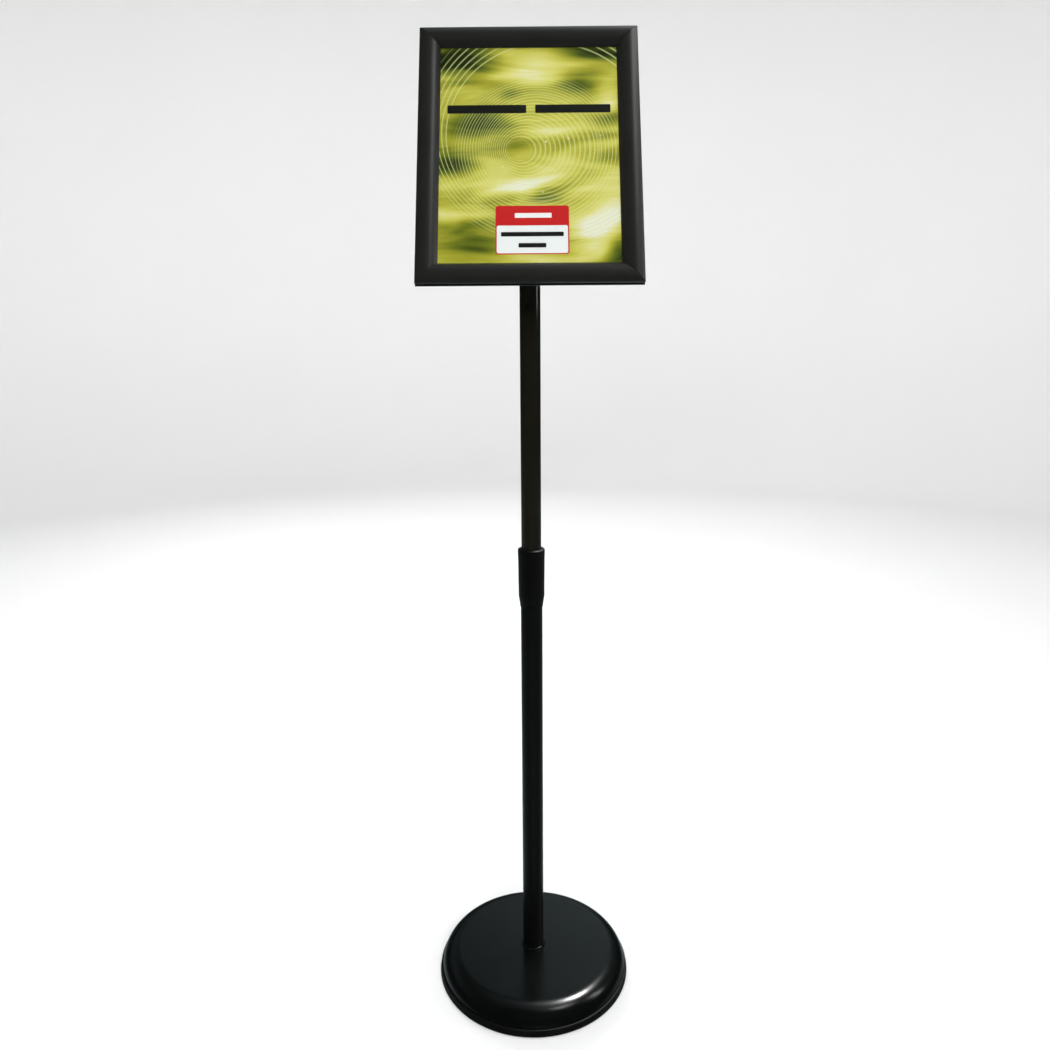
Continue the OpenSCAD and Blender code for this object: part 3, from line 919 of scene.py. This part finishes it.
def make_stage():
    """A pale round floor that curves up into a wall, in metres."""
    outline = arc(STAGE_R - STAGE_CURVE, STAGE_CURVE, STAGE_CURVE, -90, 0, 16)
    outline.append((STAGE_R, STAGE_HEIGHT))
    bm = bmesh.new()
    rings = []
    for i in range(STAGE_SIDES):
        a = 2 * math.pi * i / STAGE_SIDES
        rings.append([bm.verts.new((r * math.cos(a), r * math.sin(a), z)) for r, z in outline])
    centre = bm.verts.new((0, 0, 0))
    for i in range(STAGE_SIDES):
        a, b = rings[i], rings[(i + 1) % STAGE_SIDES]
        bm.faces.new((centre, a[0], b[0]))
        for k in range(len(a) - 1):
            bm.faces.new((a[k], a[k + 1], b[k + 1], b[k]))
    floor = add_piece("studio_floor", bm, crease=80)
    p = Paint("studio_paper")
    tone = p.noise(1.5, detail=2)
    p.colour(p.mix(tone, (0.86, 0.86, 0.855), (0.89, 0.89, 0.885)))
    p.set(Roughness=0.9, Specular_IOR_Level=0.1)
    floor.data.materials.append(p.material)
    floor.visible_glossy = False


def area_light(name, at, aim, width, height, power, turn=0.0, glossy=True):
    """A rectangle of light, in metres and watts. turn rolls it about its aim, in radians."""
    data = bpy.data.lights.new(name, "AREA")
    data.shape = "RECTANGLE"
    data.size = width
    data.size_y = height
    data.energy = power
    light = bpy.data.objects.new(name, data)
    light.location = at
    light.rotation_mode = "QUATERNION"
    facing = (Vector(aim) - Vector(at)).to_track_quat("-Z", "Y")
    light.rotation_quaternion = facing @ Quaternion((0, 0, 1), turn)
    light.visible_glossy = glossy
    light.visible_camera = False
    bpy.context.scene.collection.objects.link(light)
    return light


def make_lights():
    area_light("ceiling_soft", (0.0, 0.1, 3.2), (0, 0.1, 0), 3.2, 2.6, 45, glossy=False)
    area_light("front_soft", (0.3, -2.6, 2.1), (0, 0, 0.95), 1.6, 1.0, 58, glossy=False)
    area_light("back_soft", (-0.9, 2.7, 2.2), (0, 0, 0.9), 1.4, 1.0, 24, glossy=False)
    area_light("backdrop_wash", (0, 0.9, 2.9), (0, 4.4, 1.0), 3.4, 0.8, 56, glossy=False)
    over, under = (0.91, 0.78, 2.6), (0.91, 0.78, 0)
    panel = area_light("ceiling_panel", over, under, 0.38, 0.66, 78, turn=math.radians(30))
    panel.visible_diffuse = False
    area_light("right_window", (2.1, -0.16, 1.62), (0, 0, 1.0), 0.34, 0.95, 5.6)
    area_light("right_high", (1.05, -0.72, 2.7), (0, 0, 1.0), 0.6, 0.6, 6.5)


ROOM_TINT = (0.80, 0.98, 1.0)
# The room's brightness from straight down, 0, to straight up, 1
SKY_LEVELS = [
    (0.0, 0.85),
    (0.30, 0.75),
    (0.44, 0.05),
    (0.60, 0.04),
    (0.69, 0.25),
    (0.795, 0.29),
    (0.86, 0.06),
    (0.92, 0.10),
    (1.0, 0.52),
]
# A factor on it from the left, 0, to the right, 1
SIDE_LEVELS = [
    (0.08, 0.26),
    (0.30, 0.24),
    (0.42, 0.26),
    (0.47, 0.50),
    (0.49, 0.66),
    (0.53, 1.00),
    (0.60, 0.80),
    (0.70, 0.28),
    (0.80, 0.13),
    (1.0, 0.18),
]
# Another factor, which grows from one Y direction to another, from front to back
FRONT_TO_BACK = (-0.35, 0.45)
FRONT_TO_BACK_LEVEL = (0.16, 1.75)


def make_world():
    """A room for the gloss to show: pale below, dark at eye level, and brighter behind."""
    world = bpy.data.worlds.new("studio")
    bpy.context.scene.world = world
    world.use_nodes = True
    tree = world.node_tree
    background = tree.nodes["Background"]
    coords = tree.nodes.new("ShaderNodeTexCoord")
    split = tree.nodes.new("ShaderNodeSeparateXYZ")
    tree.links.new(coords.outputs["Generated"], split.inputs[0])
    height = map_range(tree, split.outputs["Z"], -1.0, 1.0, 0.0, 1.0)
    tinted = [(place, tuple(level * t for t in ROOM_TINT)) for place, level in SKY_LEVELS]
    sky = colour_ramp(tree, height, tinted)
    across = map_range(tree, split.outputs["X"], -1.0, 1.0, 0.0, 1.0)
    sides = colour_ramp(tree, across, [(place, (level,) * 3) for place, level in SIDE_LEVELS])
    front = map_range(tree, split.outputs["Y"], *FRONT_TO_BACK, *FRONT_TO_BACK_LEVEL)
    strength = tree.nodes.new("ShaderNodeMath")
    strength.operation = "MULTIPLY"
    tree.links.new(front, strength.inputs[0])
    tree.links.new(sides, strength.inputs[1])
    tree.links.new(sky, background.inputs["Color"])
    tree.links.new(strength.outputs[0], background.inputs["Strength"])


make_camera()
materials = make_materials()
make_base(materials)
make_pole(materials)
plan_matrix = frame_matrix()
frame_w, frame_h = frame_size()
make_rails(materials, plan_matrix, frame_w, frame_h)
make_sheets(materials, plan_matrix)
make_knob(materials)
paint_nodes(materials)
make_stage()
make_lights()
make_world()
bpy.context.scene.view_settings.view_transform = "Standard"
